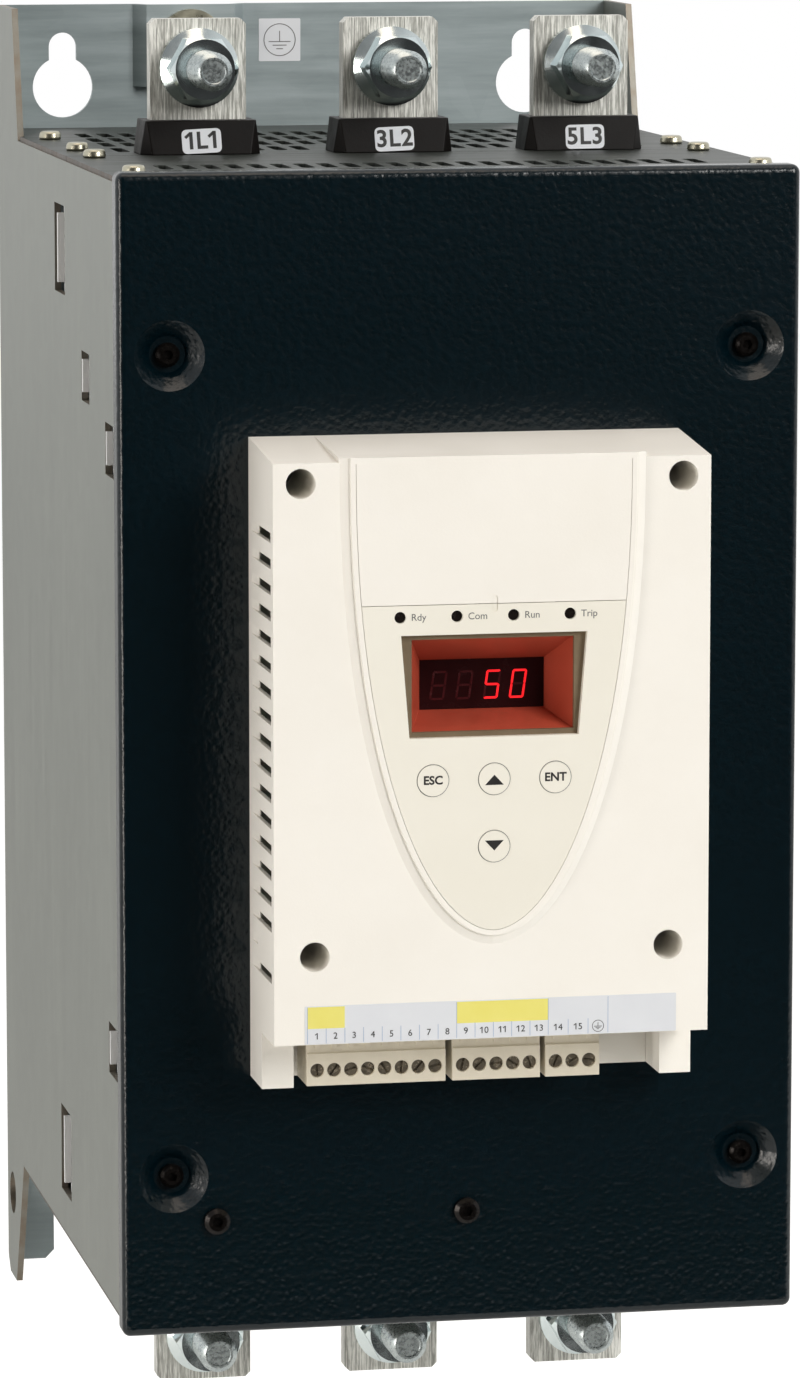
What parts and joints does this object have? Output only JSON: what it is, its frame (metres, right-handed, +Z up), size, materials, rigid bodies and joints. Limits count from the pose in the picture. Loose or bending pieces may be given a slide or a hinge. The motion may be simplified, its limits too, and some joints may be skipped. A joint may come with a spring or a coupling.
{
  "type": "soft starter",
  "caption": "Panel-mounted motor soft starter: galvanised chassis, dark cover, cream control module with display and keys, busbar studs above and below.",
  "frame": {"origin": "middle of the mounting face of the back plate", "axes": "+Z up, +Y into the mounting panel, so the front faces -Y, +X to the right seen from the front"},
  "size_m": [0.206, 0.2993, 0.43],
  "materials": {
    "galvanised_sheet": "spangled satin",
    "bright_zinc": "bright zinc",
    "cover_paint": "textured satin",
    "black_steel": "satin",
    "black_plastic": "matte",
    "yellow_zinc": "passivated",
    "aluminium": "mill",
    "tinned_copper": "brushed tin plate",
    "insulator": "matte",
    "boot_plastic": "matte",
    "transformer_case": "matte",
    "circuit_board": "satin",
    "brass": "turned",
    "cream_plastic": "fine grain",
    "panel_plastic": "smooth satin",
    "bezel_plastic": "matte",
    "red_plastic": "satin",
    "display_face": "gloss",
    "lamp_lens": "smoked",
    "terminal_plastic": "matte",
    "clamp_screw": "plated"
  },
  "bodies": {
    "starter": {"chassis": "galvanised_sheet", "chassis_wall_left": "galvanised_sheet", "chassis_wall_right": "galvanised_sheet", "rear_top_grille": "galvanised_sheet", "front_top_plate": "galvanised_sheet", "rear_bottom_grille": "galvanised_sheet", "front_bottom_plate": "galvanised_sheet", "plate_screws": "bright_zinc", "partition": "galvanised_sheet", "board_bracket": "galvanised_sheet", "front_carrier": "galvanised_sheet", "carrier_pillars": "bright_zinc", "front_cover": "cover_paint", "cover_screws": "black_steel", "cover_strip": "black_plastic", "earth_screw": "yellow_zinc", "heat_sink": "aluminium", "inner_screws": "bright_zinc", "thyristor_module_1": "black_plastic", "thyristor_module_2": "black_plastic", "thyristor_module_3": "black_plastic", "line_busbar_1": "tinned_copper", "line_busbar_2": "tinned_copper", "line_busbar_3": "tinned_copper", "load_busbar_1": "tinned_copper", "load_busbar_2": "tinned_copper", "load_busbar_3": "tinned_copper", "power_studs": "bright_zinc", "power_nuts": "bright_zinc", "bar_insulators": "insulator", "bar_shrouds": "boot_plastic", "current_transformers": "transformer_case", "fan_frame_left": "black_plastic", "fan_frame_right": "black_plastic", "firing_board": "circuit_board", "board_standoffs": "brass", "module_housing": "cream_plastic", "module_base": "cream_plastic", "module_screws": "bright_zinc", "upper_plate": "panel_plastic", "keypad_plate": "panel_plastic", "display_bezel": "bezel_plastic", "display_funnel": "red_plastic", "display_unit": "display_face", "lamp_lenses": "lamp_lens", "control_board": "circuit_board", "serial_port": "black_plastic", "terminal_headers": "terminal_plastic"},
    "key_escape_body": {"key_escape": "panel_plastic"},
    "key_up_body": {"key_up": "panel_plastic"},
    "key_enter_body": {"key_enter": "panel_plastic"},
    "key_down_body": {"key_down": "panel_plastic"},
    "fan_left": {"fan_rotor_left": "black_plastic"},
    "fan_right": {"fan_rotor_right": "black_plastic"},
    "plug_8": {"terminal_plug_8": "terminal_plastic", "plug_screws_8": "clamp_screw"},
    "plug_5": {"terminal_plug_5": "terminal_plastic", "plug_screws_5": "clamp_screw"},
    "plug_3": {"terminal_plug_3": "terminal_plastic", "plug_screws_3": "clamp_screw"}
  },
  "joints": [
    {"name": "key_escape_press", "type": "slide", "parent": "starter", "child": "key_escape_body", "axis": [0, 1, 0], "range_m": [0, 0.0006], "stiffness_N_per_m": 3000},
    {"name": "key_up_press", "type": "slide", "parent": "starter", "child": "key_up_body", "axis": [0, 1, 0], "range_m": [0, 0.0006], "stiffness_N_per_m": 3000},
    {"name": "key_enter_press", "type": "slide", "parent": "starter", "child": "key_enter_body", "axis": [0, 1, 0], "range_m": [0, 0.0006], "stiffness_N_per_m": 3000},
    {"name": "key_down_press", "type": "slide", "parent": "starter", "child": "key_down_body", "axis": [0, 1, 0], "range_m": [0, 0.0006], "stiffness_N_per_m": 3000},
    {"name": "fan_left_spin", "type": "hinge", "parent": "starter", "child": "fan_left", "pos_m": [-0.041, -0.056, -0.155], "axis": [0, 0, 1], "continuous": true},
    {"name": "fan_right_spin", "type": "hinge", "parent": "starter", "child": "fan_right", "pos_m": [0.041, -0.056, -0.155], "axis": [0, 0, 1], "continuous": true},
    {"name": "plug_8_pull", "type": "slide", "parent": "starter", "child": "plug_8", "axis": [0, 0, -1], "range_m": [0, 0.008]},
    {"name": "plug_5_pull", "type": "slide", "parent": "starter", "child": "plug_5", "axis": [0, 0, -1], "range_m": [0, 0.008]},
    {"name": "plug_3_pull", "type": "slide", "parent": "starter", "child": "plug_3", "axis": [0, 0, -1], "range_m": [0, 0.008]}
  ]
}
